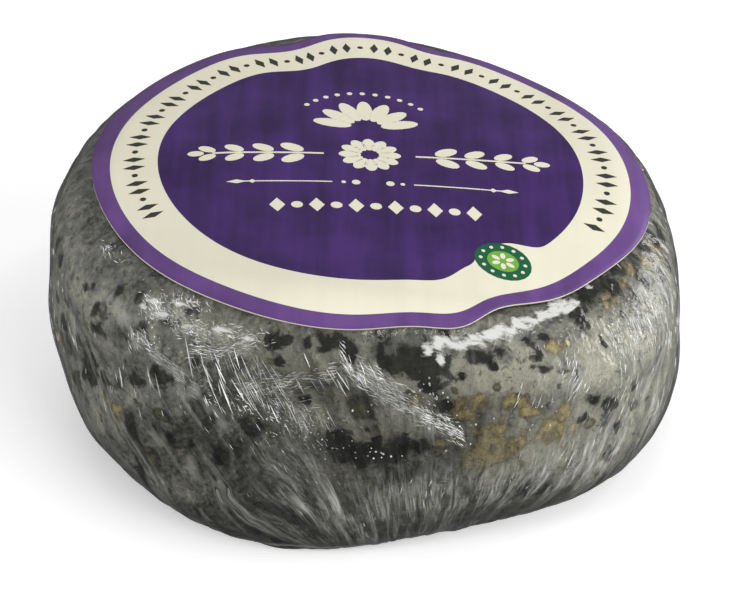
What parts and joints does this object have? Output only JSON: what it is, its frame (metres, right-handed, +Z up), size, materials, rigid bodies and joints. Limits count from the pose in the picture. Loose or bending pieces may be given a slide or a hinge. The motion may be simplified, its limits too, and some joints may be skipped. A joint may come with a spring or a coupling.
{
  "type": "film-wrapped blue cheese wheel",
  "caption": "Whole small blue cheese wheel with a mouldy grey rind, wrapped in clear film, with a round paper label on its top.",
  "frame": {"origin": "middle of the flat base that the wheel rests on", "axes": "+Z up through the label, +X to the right and -Y toward the viewer of the pictured side"},
  "size_m": [0.1672, 0.1665, 0.0737],
  "materials": {
    "film_wrapped_rind": "mottled grey mould rind under glossy clear film",
    "label_paper": "satin printed paper in violet and cream"
  },
  "bodies": {
    "root": {"wheel": "film_wrapped_rind", "label": "label_paper"}
  },
  "joints": []
}
